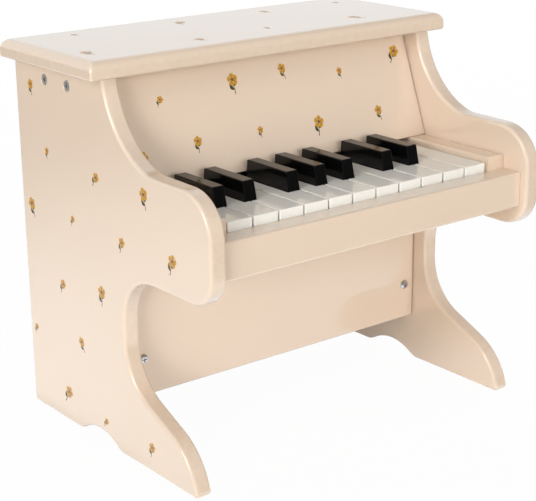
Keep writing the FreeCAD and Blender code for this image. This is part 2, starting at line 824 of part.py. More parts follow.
def tone_works():
    """The tone bars, the two felted rails that carry them and the pins that hold them."""
    bars = []
    for note in range(LAST_NOTE + 1):
        length = bar_length(note)
        bars.append(box(f"tone_bar_{note}", S.bar_width, length, S.bar_thickness,
                        slot_centre(note) - S.bar_width / 2, at(S.bar_reach) - length / 2, bar_underside))
    keep("tone_bars", cut("tone_bars", group("tone_bar_blanks", bars), pin_holes("bar", (-1, 1))))
    rails = {"front_tone_rail": -1, "rear_tone_rail": 1}
    for label, side in rails.items():
        rail = tone_strip(f"{label}_board", side, S.tone_rail_width, S.tone_rail_height,
                          tone_rail_top - S.tone_rail_height)
        keep(label, cut(label, rail, pin_holes(label, (side,))))
    felts = [tone_strip(f"{label}_felt", side, S.tone_felt_width, S.tone_felt_thickness, tone_rail_top)
             for label, side in rails.items()]
    keep("tone_rail_felts", cut("tone_rail_felts", group("felt_blanks", felts), pin_holes("felt", (-1, 1))))
    bar_top = bar_underside + S.bar_thickness
    bottom = tone_rail_top - S.pin_depth
    pins = []
    for side in rails.values():
        for note, x, y in pin_places(side):
            name = f"pin_{side + 1}_{note}"
            shank = rod(f"{name}_shank", S.pin_radius, bar_top - bottom, Z_AXIS, x, y, bottom)
            head = rod(f"{name}_head", S.pin_head_radius, S.pin_head_height, Z_AXIS, x, y, bar_top)
            pins.append(fuse(name, [shank, head]))
    keep("tone_bar_pins", group("tone_bar_pins", pins))


def cleats():
    """Strips in the corners that take the screws of the lower and the back panel."""
    lower_low = S.lower_bottom + S.cleat_foot_gap
    lower = []
    for side, low in ((-1, -inner_half), (1, inner_half - S.lower_cleat_width)):
        front = at(S.lower_reach - S.lower_thickness)
        lower.append(box(f"lower_cleat_{side + 1}", S.lower_cleat_width, S.lower_cleat_depth,
                         bed_underside - lower_low, low, front, lower_low))
    depth = S.pan_length - S.lower_thickness + S.overrun
    pilots = [rod(f"lower_pilot_{i}", S.pan_shank_radius + S.screw_clearance, depth + S.overrun, Y_AXIS,
                  x, at(S.lower_reach - S.lower_thickness) - S.overrun, S.lower_screw_height)
              for i, x in enumerate(lower_screw_places())]
    keep("lower_panel_cleats", cut("lower_panel_cleats", group("lower_cleat_blanks", lower), pilots))
    back = []
    for low_x in (-inner_half, inner_half - S.back_cleat_width):
        for low, high in back_cleat_spans():
            back.append(box(f"back_cleat_{len(back)}", S.back_cleat_width, S.back_cleat_depth, high - low,
                            low_x, at(back_inner_reach + S.back_cleat_depth), low))
    pilots = [rod(f"back_pilot_{i}", S.pan_shank_radius + S.screw_clearance,
                  S.pan_length - S.back_thickness + 2 * S.overrun, Y_AXIS * -1,
                  x, at(back_inner_reach) + S.overrun, z)
              for i, (x, z) in enumerate(back_screw_places())]
    keep("back_cleats", cut("back_cleats", group("back_cleat_blanks", back), pilots))


def cross_corners():
    """The outline of a cross recess."""
    arm, half = S.cross_arm, S.cross_width / 2
    return [(arm, -half), (arm, half), (half, half), (half, arm), (-half, arm), (-half, half),
            (-arm, half), (-arm, -half), (-half, -half), (-half, -arm), (half, -arm), (half, -half)]


def screw(name, profile, head_top, outward, x, y, z):
    """A turned screw with a cross recess; its head points outward along local Z."""
    body = new_body(name, x, y, z)
    body.Placement.Rotation = FreeCAD.Rotation(Z_AXIS, outward)
    section = new_sketch(body, "XZ_Plane", f"{name}_section")
    draw_polygon(section, profile)
    turned = body.newObject("PartDesign::Revolution", f"{name}_turned")
    turned.Profile = section
    turned.ReferenceAxis = (section, ["V_Axis"])
    cross = new_sketch(body, "XY_Plane", f"{name}_cross", lift=head_top)
    draw_polygon(cross, cross_corners())
    pocket(body, cross, S.cross_depth)
    return body


def side_screws():
    """Countersunk screws through the side panels into the lid rail."""
    sunk = -S.side_screw_sink
    neck = sunk - (S.side_screw_radius - S.side_screw_shank)
    profile = [
        (0, -S.side_screw_length), (S.side_screw_shank, S.screw_point - S.side_screw_length),
        (S.side_screw_shank, neck), (S.side_screw_radius, sunk), (0, sunk),
    ]
    screws = []
    for side in (-1, 1):
        for reach in side_screw_reaches():
            screws.append(screw(f"side_screw_{len(screws)}", profile, sunk, X_AXIS * side,
                                side * outer_half, at(reach), side_screw_height))
    keep("side_screws", group("side_screws", screws))


def panel_screws():
    """Pan-head screws of the lower panel and the back panel."""
    shoulder = S.pan_head_radius - S.pan_head_round
    profile = [
        (0, -S.pan_length), (S.pan_shank_radius, S.screw_point - S.pan_length), (S.pan_shank_radius, 0),
        (S.pan_head_radius, 0), (S.pan_head_radius, S.pan_rim_height), (shoulder, S.pan_head_height),
        (0, S.pan_head_height),
    ]
    places = [(Y_AXIS * -1, x, at(S.lower_reach), S.lower_screw_height) for x in lower_screw_places()]
    places += [(Y_AXIS, x, at(S.back_recess), z) for x, z in back_screw_places()]
    screws = []
    for outward, x, y, z in places:
        body = screw(f"panel_screw_{len(screws)}", profile, S.pan_head_height, outward, x, y, z)
        round_edges(body, S.pan_rim_height / 2, lambda edge: (
            edge.Curve.TypeId == "Part::GeomCircle" and middle(edge).z > 0
            and not near(middle(edge).z, S.pan_head_height - S.cross_depth)))
        screws.append(body)
    keep("panel_screws", group("panel_screws", screws))


WHITE_NOTES = [note for note in range(2 * SEMITONES) if not is_sharp(note)][:WHITE_KEYS]
LAST_NOTE = WHITE_NOTES[-1]
BLACK_NOTES = [note for note in range(LAST_NOTE) if is_sharp(note)]

side_panel("left_side_panel", -1)
side_panel("right_side_panel", 1)
lid()
upper_front_panel()
lower_front_panel()
back_panel()
key_slip()
key_block("left_key_block", -1)
key_block("right_key_block", 1)
key_bed()
lid_rail()
pivot_rod("key_pivot_rod", S.key_rod_radius, S.key_pivot_reach, key_pivot_height)
pivot_rod("hammer_pivot_rod", S.hammer_rod_radius, S.hammer_pivot_reach, hammer_pivot_height)
key_rests()
for number, note in enumerate(WHITE_NOTES, 1):
    white_key(number, note)
for number, note in enumerate(BLACK_NOTES, 1):
    black_key(number, note)
for note in range(LAST_NOTE + 1):
    hammer(note)
tone_works()
cleats()
side_screws()
panel_screws()

doc.recompute()
failed = [item.Label for item in doc.Objects if {"Invalid", "Error"} & set(item.State)]
failed += [label for label, item in nodes.items() if item.Shape.isNull() or not item.Shape.isValid()]
failed += [item.Label for item in pockets if item.Shape.Volume >= item.BaseFeature.Shape.Volume]
if failed:
    raise RuntimeError(f"failed objects: {failed}")
os.makedirs("parts", exist_ok=True)
for label, item in nodes.items():
    item.Shape.exportStep(os.path.join("parts", f"{label}.step"))
    print(label, len(item.Shape.Solids), "solids", round(item.Shape.Volume), "mm3")
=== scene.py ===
import json
import math
import random

import bmesh
import bpy
from mathutils import Color, Matrix, Vector
from mathutils.bvhtree import BVHTree


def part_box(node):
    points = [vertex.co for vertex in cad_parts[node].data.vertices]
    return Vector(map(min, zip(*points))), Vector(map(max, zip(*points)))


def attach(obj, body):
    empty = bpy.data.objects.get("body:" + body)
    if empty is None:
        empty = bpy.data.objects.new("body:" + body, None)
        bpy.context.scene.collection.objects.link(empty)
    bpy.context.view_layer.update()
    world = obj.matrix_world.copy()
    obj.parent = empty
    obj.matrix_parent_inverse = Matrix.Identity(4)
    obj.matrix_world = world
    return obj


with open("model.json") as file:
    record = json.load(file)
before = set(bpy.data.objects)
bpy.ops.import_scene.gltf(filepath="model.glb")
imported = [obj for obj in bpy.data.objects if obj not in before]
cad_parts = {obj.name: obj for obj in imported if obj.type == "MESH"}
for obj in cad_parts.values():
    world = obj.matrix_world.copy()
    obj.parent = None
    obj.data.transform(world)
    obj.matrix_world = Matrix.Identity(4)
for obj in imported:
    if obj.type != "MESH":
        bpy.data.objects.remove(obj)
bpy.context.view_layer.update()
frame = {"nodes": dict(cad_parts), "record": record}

# The looks of a toy upright piano. Lengths are in metres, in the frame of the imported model: X runs along
# the keyboard to the right, the keys face -Y and Z is up. Angles are in radians.
MM = 0.001
X_AXIS, Y_AXIS, Z_AXIS = AXES = range(3)
UP = Vector((0, 0, 1))
RIGHT = Vector((1, 0, 0))
BACK = Vector((0, 1, 0))
UPRIGHT = math.pi / 2
FULL_TURN = 2 * math.pi
WHITE = (1.0, 1.0, 1.0, 1.0)
SCREEN_WHITE = 255
CASE = "case"
record = frame["record"]
nodes = frame["nodes"]


def srgb(red, green, blue):
    """A colour given as on a screen, from 0 to 255, in the shader's own scale."""
    screen = Color([channel / SCREEN_WHITE for channel in (red, green, blue)])
    return (*screen.from_srgb_to_scene_linear(), 1.0)


def add_object(name, data):
    """A new object in the scene."""
    made = bpy.data.objects.new(name, data)
    bpy.context.scene.collection.objects.link(made)
    return made


def finished_mesh(name, work):
    """The mesh that was worked on."""
    mesh = bpy.data.meshes.new(name)
    work.to_mesh(mesh)
    work.free()
    return mesh


class Nodes:
    """A node tree, with short ways to add to it."""

    def __init__(self, tree):
        self.tree = tree
        tree.nodes.clear()

    def feed(self, socket, value):
        """Set or link one input."""
        if isinstance(value, bpy.types.NodeSocket):
            self.tree.links.new(value, socket)
        else:
            socket.default_value = value

    def add(self, kind, inputs=None, **settings):
        """One node, with its settings and its inputs as values or as other nodes' outputs."""
        node = self.tree.nodes.new(kind)
        for name, value in settings.items():
            setattr(node, name, value)
        for name, value in (inputs or {}).items():
            self.feed(node.inputs[name], value)
        return node

    def math(self, operation, first, second=0.0, clamp=False):
        """One sum on one or two numbers."""
        node = self.add("ShaderNodeMath", {0: first, 1: second}, operation=operation, use_clamp=clamp)
        return node.outputs[0]

    def ramp(self, factor, low=0.0, high=1.0, low_out=0.0, high_out=1.0, shape="LINEAR"):
        """A number moved from one range to another, and held at its ends."""
        node = self.add("ShaderNodeMapRange", {
            "Value": factor, "From Min": low, "From Max": high, "To Min": low_out, "To Max": high_out,
        }, interpolation_type=shape)
        return node.outputs["Result"]

    def along(self, place, direction):
        """How far a place or a direction lies along another direction."""
        node = self.add("ShaderNodeVectorMath", {0: place, 1: direction}, operation="DOT_PRODUCT")
        return node.outputs["Value"]

    def by_ray(self, seen, shine, light):
        """One number for rays from the camera or through glass, one for gloss and one for other light."""
        path = self.add("ShaderNodeLightPath").outputs
        direct = self.math("MAXIMUM", path["Is Camera Ray"], path["Is Transmission Ray"])
        indirect = self.ramp(path["Is Glossy Ray"], low_out=light, high_out=shine)
        return self.ramp(direct, low_out=indirect, high_out=seen)


class Finish(Nodes):
    """A material and its nodes."""

    def __init__(self, name):
        self.material = bpy.data.materials.new(name)
        self.material.use_nodes = True
        super().__init__(self.material.node_tree)
        self.surface = self.add("ShaderNodeBsdfPrincipled")
        self.add("ShaderNodeOutputMaterial", {"Surface": self.surface.outputs["BSDF"]})
        self.place = self.add("ShaderNodeTexCoord").outputs["Object"]

    def set(self, **inputs):
        """Set or link inputs of the surface shader, named with underscores for spaces."""
        for name, value in inputs.items():
            self.feed(self.surface.inputs[name.replace("_", " ")], value)

    def stretched(self, scale):
        """The place on the object, stretched along its axes."""
        return self.add("ShaderNodeMapping", {"Vector": self.place, "Scale": scale}).outputs["Vector"]

    def noise(self, size, detail=2.0, rough=0.5, place=None, distortion=0.0):
        """Noise whose lumps have about the given size, from 0 to 1."""
        node = self.add("ShaderNodeTexNoise", {
            "Vector": place or self.place, "Scale": 1 / size, "Detail": detail, "Roughness": rough,
            "Distortion": distortion,
        })
        return node.outputs["Fac"]

    def mix(self, factor, first, second):
        """Two colours mixed. A mix node's sockets for numbers and colours share their names."""
        node = self.add("ShaderNodeMix", data_type="RGBA")
        inputs = {socket.identifier: socket for socket in node.inputs}
        for identifier, value in (("Factor_Float", factor), ("A_Color", first), ("B_Color", second)):
            self.feed(inputs[identifier], value)
        return next(socket for socket in node.outputs if socket.identifier == "Result_Color")

    def bump(self, height, depth):
        """Relief of the given depth."""
        node = self.add("ShaderNodeBump", {"Height": height, "Distance": depth})
        self.set(Normal=node.outputs["Normal"])


# parts of a noise's range that are spread over a whole change of colour or gloss
NOISE_SPAN = (0.3, 0.7)
WIDE_SPAN = (0.2, 0.8)

# lacquered board: the tones of its faces and its sawn edges, told apart by how a point faces
FACE_TONES = (srgb(228, 206, 184), srgb(231, 210, 188))
SAWN_TONES = (srgb(224, 202, 180), srgb(228, 207, 185))
SAWN_FACING = (0.85, 0.3)
CLOUD_SIZE = 90 * MM
MOTTLE_SIZE = 5 * MM
MOTTLE_SPAN = (0.35, 0.65)
HAZE_SIZE = 12 * MM
LACQUER_ROUGH = (0.05, 0.10)
LACQUER_INDEX = 1.5
COAT_ROUGH = 0.03
PEEL_SIZE = 2.6 * MM
PEEL_DEPTH = 0.012 * MM
# each lacquered board, and the axis of its thickness
LACQUER_AXES = {
    "left_side_panel": "X", "right_side_panel": "X", "lid": "Z", "upper_front_panel": "Y",
    "lower_front_panel": "Y", "key_slip": "Y", "left_key_block": "Z", "right_key_block": "Z",
}


def lacquer(axis):
    """Gloss cream lacquer on fibreboard: a faint peel all over, and a mottle on the sawn edges."""
    finish = Finish(f"lacquer_{axis.lower()}")
    normal = finish.add("ShaderNodeNewGeometry").outputs["Normal"]
    parts = finish.add("ShaderNodeSeparateXYZ", {"Vector": normal}).outputs
    edge = finish.ramp(finish.math("ABSOLUTE", parts[axis]), *SAWN_FACING)
    cloud = finish.noise(CLOUD_SIZE, detail=3.0)
    face = finish.mix(cloud, *FACE_TONES)
    mottle = finish.noise(MOTTLE_SIZE, detail=4.0, rough=0.6)
    sawn = finish.mix(finish.ramp(mottle, *MOTTLE_SPAN), *SAWN_TONES)
    finish.set(Base_Color=finish.mix(edge, face, sawn))
    haze = finish.noise(HAZE_SIZE, detail=3.0)
    finish.set(Roughness=finish.ramp(haze, *WIDE_SPAN, *LACQUER_ROUGH))
    finish.set(IOR=LACQUER_INDEX, Coat_Weight=1.0, Coat_Roughness=COAT_ROUGH)
    finish.bump(finish.noise(PEEL_SIZE, detail=1.0), PEEL_DEPTH)
    return finish.material


# moulded plastics, by material slot: tones, range of roughness, size of the grain and refractive index
MOULDINGS = {
    "white_key": {
        "name": "white_key_plastic", "tones": (srgb(243, 241, 233), srgb(247, 245, 237)),
        "rough": (0.02, 0.05), "grain": 0.9 * MM, "index": 1.49,
    },
    "black_key": {
        "name": "black_key_plastic", "tones": (srgb(7, 7, 7), srgb(12, 11, 11)),
        "rough": (0.08, 0.14), "grain": 0.5 * MM, "index": 1.38,
    },
    "hammer_plastic": {
        "name": "hammer_plastic", "tones": (srgb(214, 208, 196), srgb(224, 219, 208)),
        "rough": (0.4, 0.5), "grain": 0.6 * MM, "index": 1.49,
    },
}
FLOW_SIZE = 18 * MM
WEAR_SIZE = 1.2 * MM
WEAR_STRETCH = (1.0, 0.06, 1.0)
GRAIN_DEPTH = 0.002 * MM


def moulded(name, tones, rough, grain, index):
    """Moulded plastic: flow clouds, and fine wear that runs along the key."""
    finish = Finish(name)
    flow = finish.noise(FLOW_SIZE, detail=3.0, distortion=0.6)
    finish.set(Base_Color=finish.mix(flow, *tones), IOR=index)
    wear = finish.noise(WEAR_SIZE, detail=3.0, place=finish.stretched(WEAR_STRETCH))
    finish.set(Roughness=finish.ramp(wear, *NOISE_SPAN, *rough))
    finish.bump(finish.noise(grain), GRAIN_DEPTH)
    return finish.material


# metals, by finish: tones, range of roughness, and the scale along each axis, small where lines run
METALS = {
    "rod_steel": {
        "name": "drawn_steel", "tones": (srgb(168, 169, 172), srgb(186, 187, 190)),
        "rough": (0.25, 0.38), "stretch": (0.02, 1.0, 1.0),
    },
    "screw_zinc": {
        "name": "zinc_plate", "tones": (srgb(196, 199, 204), srgb(214, 216, 219)),
        "rough": (0.18, 0.3), "stretch": (1.0, 1.0, 1.0),
    },
    "dull_zinc": {
        "name": "dull_zinc", "tones": (srgb(176, 173, 168), srgb(222, 220, 214)),
        "rough": (0.42, 0.6), "stretch": (1.0, 1.0, 1.0),
    },
    "tone_metal": {
        "name": "tone_metal", "tones": (srgb(190, 192, 195), srgb(206, 208, 210)),
        "rough": (0.25, 0.4), "stretch": (1.0, 0.03, 1.0),
    },
}
LINE_SIZE = 0.6 * MM
LINE_DEPTH = 0.006 * MM
STAIN_SIZE = 7 * MM
# nodes whose finish isn't the usual one of their material slot
NODE_FINISHES = {"side_screws": "dull_zinc"}


def metal(name, tones, rough, stretch):
    """Plated metal with a fine grain, or drawn metal whose grain runs in lines along one axis."""
    finish = Finish(name)
    lines = finish.noise(LINE_SIZE, detail=4.0, place=finish.stretched(stretch))
    stain = finish.noise(STAIN_SIZE, detail=3.0)
    finish.set(Base_Color=finish.mix(stain, *tones), Metallic=1.0)
    finish.set(Roughness=finish.ramp(lines, *NOISE_SPAN, *rough))
    finish.bump(lines, LINE_DEPTH)
    return finish.material


# pine: its growth rings, the pale warp across them, and dark fibres, all drawn out along X
RING_TONES = (srgb(222, 190, 142), srgb(203, 163, 112))
RING_SIZE = 22 * MM
RING_STRETCH = (0.04, 1.0, 1.0)
WARP_TONE = srgb(229, 201, 158)
WARP_SIZE = 60 * MM
WARP_STRETCH = (0.15, 1.0, 1.0)
WARP_STRENGTH = 0.5
FIBRE_TONE = srgb(160, 118, 72)
FIBRE_SIZE = 0.8 * MM
FIBRE_STRETCH = (0.03, 1.0, 1.0)
FIBRE_SPAN = (0.45, 0.7)
FIBRE_STRENGTH = 0.25
FIBRE_DEPTH = 0.05 * MM
PINE_ROUGH = 0.62


def bare_wood():
    """Planed pine, with its grain along X."""
    finish = Finish("bare_wood")
    warp = finish.noise(WARP_SIZE, place=finish.stretched(WARP_STRETCH))
    rings = finish.add("ShaderNodeTexWave", {
        "Vector": finish.stretched(RING_STRETCH), "Scale": 1 / RING_SIZE, "Distortion": 5.0,
        "Detail": 3.0, "Detail Scale": 1.4,
    }, bands_direction="DIAGONAL")
    fibre = finish.noise(FIBRE_SIZE, detail=3.0, place=finish.stretched(FIBRE_STRETCH))
    tone = finish.mix(rings.outputs["Fac"], *RING_TONES)
    tone = finish.mix(finish.ramp(warp, *NOISE_SPAN, high_out=WARP_STRENGTH), tone, WARP_TONE)
    tone = finish.mix(finish.ramp(fibre, *FIBRE_SPAN, high_out=FIBRE_STRENGTH), tone, FIBRE_TONE)
    finish.set(Base_Color=tone, Roughness=PINE_ROUGH)
    finish.bump(fibre, FIBRE_DEPTH)
    return finish.material


# painted fibreboard: the clouds of its paint and the fibres that show through
PAINT_TONES = (srgb(226, 206, 186), srgb(232, 215, 197))
PAINT_SIZE = 70 * MM
PAINT_ROUGH = (0.38, 0.5)
BOARD_FIBRE_TONE = srgb(205, 180, 154)
BOARD_FIBRE_SIZE = 1.5 * MM
BOARD_FIBRE_SPAN = (0.4, 0.75)
BOARD_FIBRE_STRENGTH = 0.3
BOARD_FIBRE_DEPTH = 0.03 * MM


def back_board():
    """Thin fibreboard with one thin coat of cream paint, so its fibres show a little."""
    finish = Finish("back_board")
    fibre = finish.noise(BOARD_FIBRE_SIZE, detail=5.0, rough=0.65)
    tone = finish.mix(finish.noise(PAINT_SIZE, detail=3.0), *PAINT_TONES)
    showing = finish.ramp(fibre, *BOARD_FIBRE_SPAN, high_out=BOARD_FIBRE_STRENGTH)
    finish.set(Base_Color=finish.mix(showing, tone, BOARD_FIBRE_TONE))
    finish.set(Roughness=finish.ramp(fibre, *NOISE_SPAN, *PAINT_ROUGH))
    finish.bump(fibre, BOARD_FIBRE_DEPTH)
    return finish.material


# felt: its tones, and the size and relief of its wool
FELT_TONES = (srgb(96, 20, 22), srgb(148, 40, 38))
WOOL_SIZE = 0.9 * MM
WOOL_DEPTH = 0.25 * MM


def felt():
    """Pressed wool felt."""
    finish = Finish("felt")
    wool = finish.noise(WOOL_SIZE, detail=6.0, rough=0.7, distortion=1.2)
    finish.set(Base_Color=finish.mix(wool, *FELT_TONES))
    finish.set(Roughness=0.95, Sheen_Weight=0.4, Sheen_Roughness=0.5)
    finish.bump(wool, WOOL_DEPTH)
    return finish.material


def dress_nodes():
    """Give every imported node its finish, by its material slot in the record."""
    lacquers = {axis: lacquer(axis) for axis in sorted(set(LACQUER_AXES.values()))}
    finishes = {"bare_wood": bare_wood(), "back_board": back_board(), "felt": felt()}
    for slot, facts in MOULDINGS.items():
        finishes[slot] = moulded(**facts)
    for slot, facts in METALS.items():
        finishes[slot] = metal(**facts)
    for row in record["subparts"]:
        name = row["node"]
        if name in LACQUER_AXES:
            finish = lacquers[LACQUER_AXES[name]]
        else:
            finish = finishes[NODE_FINISHES.get(name, row["material_slot"])]
        for slot in nodes[name].material_slots:
            slot.material = finish


# inks of the print: how far each stands on the lacquer, and its tones at the root and the tip of a shape
INKS = {
    "leaf": {"lift": 0.02 * MM, "tones": (srgb(58, 53, 24), srgb(90, 83, 42))},
    "petal": {"lift": 0.035 * MM, "tones": (srgb(170, 114, 22), srgb(208, 158, 46))},
    "heart": {"lift": 0.05 * MM, "tones": (srgb(104, 74, 28), srgb(122, 90, 34))},
}
PRINT_SINK = 0.05 * MM
INK_GRAIN_SIZE = 0.7 * MM
INK_GRAIN_PLAY = (-0.25, 0.25)
INK_ROUGH = 0.06
# the layer of a print's mesh that says how far along its shape a point lies
LENGTH_LAYER = "length"


def ink(name, tones):
    """Printed colour under the lacquer, with a soft change from the root of each shape to its tip."""
    finish = Finish(f"{name}_ink")
    length = finish.add("ShaderNodeAttribute", attribute_name=LENGTH_LAYER).outputs["Fac"]
    grain = finish.ramp(finish.noise(INK_GRAIN_SIZE, detail=3.0), *WIDE_SPAN, *INK_GRAIN_PLAY)
    shade = finish.math("ADD", length, grain, clamp=True)
    finish.set(Base_Color=finish.mix(shade, *tones), Roughness=INK_ROUGH, IOR=LACQUER_INDEX)
    return finish.material


# a sprig, in shares of its height: points, the blossom's reach, and the shapes' lengths and half widths
FOOT_SHARES = Vector((-0.04, -0.5))
FLOWER_SHARES = Vector((0.03, 0.2))
REACH_SHARE = 0.31
STEM_SHARES = (0.68, 0.017)
LEAF_SHARES = (0.38, 0.085)
# the petals and the heart, in shares of the blossom's reach
PETAL_SHARES = (0.88, 0.36)
HEART_SHARES = (0.48, 0.24)
PETAL_ROOT_SHARE = 0.12
# the leaves: how far up the stem each grows, and on which side
LEAF_ROOT_SHARES = ((0.3, 1), (0.55, -1))
# how far the stem and the leaves lean from upright at their roots, and how far they bend from there
STEM_LEAN = -0.25
STEM_BEND = 0.32
LEAF_LEAN = 0.95
LEAF_BEND = -0.4
# the number of petals, and of the steps along each shape
PETALS = 5
STRIP_STEPS = 14
# widths along a shape, in shares of its half width
DISC_END_SHARE = 0.12
STEM_ROOT_SHARE = 1.3
STEM_TAPER_SHARE = 0.5


def swelling(end_share, skew, power):
    """A width that swells from its narrow ends, later along the shape the larger the skew."""
    return lambda share: end_share + math.sin(math.pi * share ** skew) ** power


petal_width = swelling(end_share=0.12, skew=1.6, power=0.8)
leaf_width = swelling(end_share=0.05, skew=1.0, power=1.1)


def disc_width(share):
    """Round."""
    return max(DISC_END_SHARE, math.sqrt(1 - (2 * share - 1) ** 2))


def stem_width(share):
    """Nearly even, and thicker at the root."""
    return STEM_ROOT_SHARE - STEM_TAPER_SHARE * share


def heading(angle):
    """A direction in the plane of the print."""
    return Vector((math.cos(angle), math.sin(angle)))


def strip(root, angle, size, shares, profile, bend=0.0):
    """A shape along a line from its root: pairs of points whose width follows a profile of the length."""
    length, half_width = (share * size for share in shares)
    pairs = []
    for step in range(STRIP_STEPS + 1):
        share = step / STRIP_STEPS
        forward = heading(angle + bend * share)
        side = Vector((-forward.y, forward.x)) * half_width * profile(share)
        middle = root + forward * length * share
        pairs.append((middle + side, middle - side))
    return pairs


def sprig(height):
    """The shapes of one sprig, each with its ink, upright in the plane of the print."""
    reach = REACH_SHARE * height
    flower = FLOWER_SHARES * height
    foot = FOOT_SHARES * height
    shapes = [("leaf", strip(foot, UPRIGHT + STEM_LEAN, height, STEM_SHARES, stem_width, STEM_BEND))]
    for share, side in LEAF_ROOT_SHARES:
        root = foot + (flower - foot) * share
        angle = UPRIGHT + LEAF_LEAN * side
        shapes.append(("leaf", strip(root, angle, height, LEAF_SHARES, leaf_width, LEAF_BEND * side)))
    for petal in range(PETALS):
        angle = UPRIGHT + FULL_TURN * petal / PETALS
        root = flower + heading(angle) * PETAL_ROOT_SHARE * reach
        shapes.append(("petal", strip(root, angle, reach, PETAL_SHARES, petal_width)))
    heart_length = HEART_SHARES[0] * reach
    start = flower - Vector((heart_length / 2, 0))
    shapes.append(("heart", strip(start, 0.0, reach, HEART_SHARES, disc_width)))
    return shapes


def print_shape(work, place, pairs, lift, ink_index):
    """Add one thin closed shape, which stands a little on the lacquer and sinks a little into it."""
    length = work.verts.layers.float[LENGTH_LAYER]
    rings = []
    for step, (left, right) in enumerate(pairs):
        corners = ((left, lift), (right, lift), (right, -PRINT_SINK), (left, -PRINT_SINK))
        ring = [work.verts.new(place @ Vector((*point, level))) for point, level in corners]
        for vertex in ring:
            vertex[length] = step / STRIP_STEPS
        rings.append(ring)
    faces = [work.faces.new(rings[0]), work.faces.new(reversed(rings[-1]))]
    for ring, after in zip(rings, rings[1:]):
        for corner in range(len(ring)):
            beside = (corner + 1) % len(ring)
            faces.append(work.faces.new((ring[corner], after[corner], after[beside], ring[beside])))
    for face in faces:
        face.material_index = ink_index


def print_piece(name, places, inks):
    """One piece of the print, with a sprig at each place."""
    work = bmesh.new()
    work.verts.layers.float.new(LENGTH_LAYER)
    ink_names = list(inks)
    for place, height in places:
        for ink_name, pairs in sprig(height):
            print_shape(work, place, pairs, INKS[ink_name]["lift"], ink_names.index(ink_name))
    bmesh.ops.recalc_face_normals(work, faces=work.faces)
    mesh = finished_mesh(name, work)
    for material in inks.values():
        mesh.materials.append(material)
    piece = add_object(name, mesh)
    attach(piece, CASE)


# where the print lies: the face of each node, looked at along a direction, and its rows and columns
PRINTED_FACES = {
    "print_left": {"node": "left_side_panel", "direction": RIGHT, "rows": 6, "columns": 4},
    "print_right": {"node": "right_side_panel", "direction": -RIGHT, "rows": 6, "columns": 4},
    "print_upper": {"node": "upper_front_panel", "direction": BACK, "rows": 2, "columns": 5},
    "print_lid": {"node": "lid", "direction": -UP, "rows": 2, "columns": 4},
}
PRINT_SEED = 7
# the heights of the sprigs, which follow each other along a row, and how many of them a new row skips
SPRIG_HEIGHTS = (18 * MM, 14 * MM, 10 * MM)
HEIGHT_SKIP = 2
# a sprig's place in its row and column, which is staggered row by row, and the play of its place and turn
ROW_SHARE = 0.5
COLUMN_SHARES = (0.25, 0.75)
PLAY_SHARE = 0.14
TURN_PLAY = 0.6
# how squarely a face must meet the look, how flat it must be round a sprig, and where that is tested
SQUARE_LEAST = 0.9
FLAT_LEAST = 0.999
FLAT_RING_SHARES = (0.25, 0.5, 0.75)
FLAT_STEPS = 12
# a face that leans less than this from level has its print upright along Y
LEAN_LEAST = 0.5


def surface_of(name):
    """A node's surface, to find where a print meets it."""
    mesh = nodes[name].data
    points = [vertex.co for vertex in mesh.vertices]
    return BVHTree.FromPolygons(points, [face.vertices for face in mesh.polygons])


def print_place(surface, start, direction, height, turn):
    """Where a sprig sits on a surface, or nothing where its face isn't flat all round."""
    centre, normal, _, _ = surface.ray_cast(start, direction)
    if centre is None or normal.dot(direction) > -SQUARE_LEAST:
        return None
    across = UP.cross(normal)
    across = across.normalized() if across.length > LEAN_LEAST else RIGHT
    along = normal.cross(across)
    for ring_share in FLAT_RING_SHARES:
        for step in range(FLAT_STEPS):
            angle = FULL_TURN * step / FLAT_STEPS
            offset = (across * math.cos(angle) + along * math.sin(angle)) * ring_share * height
            hit, hit_normal, _, _ = surface.ray_cast(start + offset, direction)
            if hit is None or hit_normal.dot(normal) < FLAT_LEAST:
                return None
    rotation = Matrix((across, along, normal)).transposed().to_4x4()
    return Matrix.Translation(centre) @ rotation @ Matrix.Rotation(turn, 4, "Z")


def scatter(node, direction, rows, columns, seed):
    """Sprigs on one face of a node, in staggered rows with a little play."""
    draw = random.Random(seed)
    surface = surface_of(node)
    low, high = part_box(node)
    span = high - low
    normal_axis = max(AXES, key=lambda axis: abs(direction[axis]))
    row_axis = Z_AXIS if normal_axis != Z_AXIS else Y_AXIS
    column_axis = X_AXIS if normal_axis != X_AXIS else Y_AXIS
    places = []
    for row in range(rows):
        for column in range(columns):
            start = (low + high) / 2 - direction * span[normal_axis]
            along = row + ROW_SHARE + draw.uniform(-PLAY_SHARE, PLAY_SHARE)
            across = column + COLUMN_SHARES[row % 2] + draw.uniform(-PLAY_SHARE, PLAY_SHARE)
            start[row_axis] = low[row_axis] + span[row_axis] * along / rows
            start[column_axis] = low[column_axis] + span[column_axis] * across / columns
            height = SPRIG_HEIGHTS[(HEIGHT_SKIP * row + column) % len(SPRIG_HEIGHTS)]
            place = print_place(surface, start, direction, height, draw.uniform(-TURN_PLAY, TURN_PLAY))
            if place is not None:
                places.append((place, height))
    return places


def prints():
    """The printed sprigs on the sides, the upper panel and the lid."""
    inks = {name: ink(name, facts["tones"]) for name, facts in INKS.items()}
    for order, (name, facts) in enumerate(PRINTED_FACES.items()):
        print_piece(name, scatter(**facts, seed=PRINT_SEED + order), inks)


# the camera, as the photograph was taken
PHOTO_WIDTH = 536
FOCAL_PIXELS = 1464.4
SENSOR_WIDTH = 36.0
CAMERA_PLACE = Vector((-765.2, -969.7, 542.1)) * MM
CAMERA_TARGET = Vector((0.0, 17.5, 137.7)) * MM
CAMERA_ROLL = -0.0107
CLIP_RANGE = (0.01, 200.0)


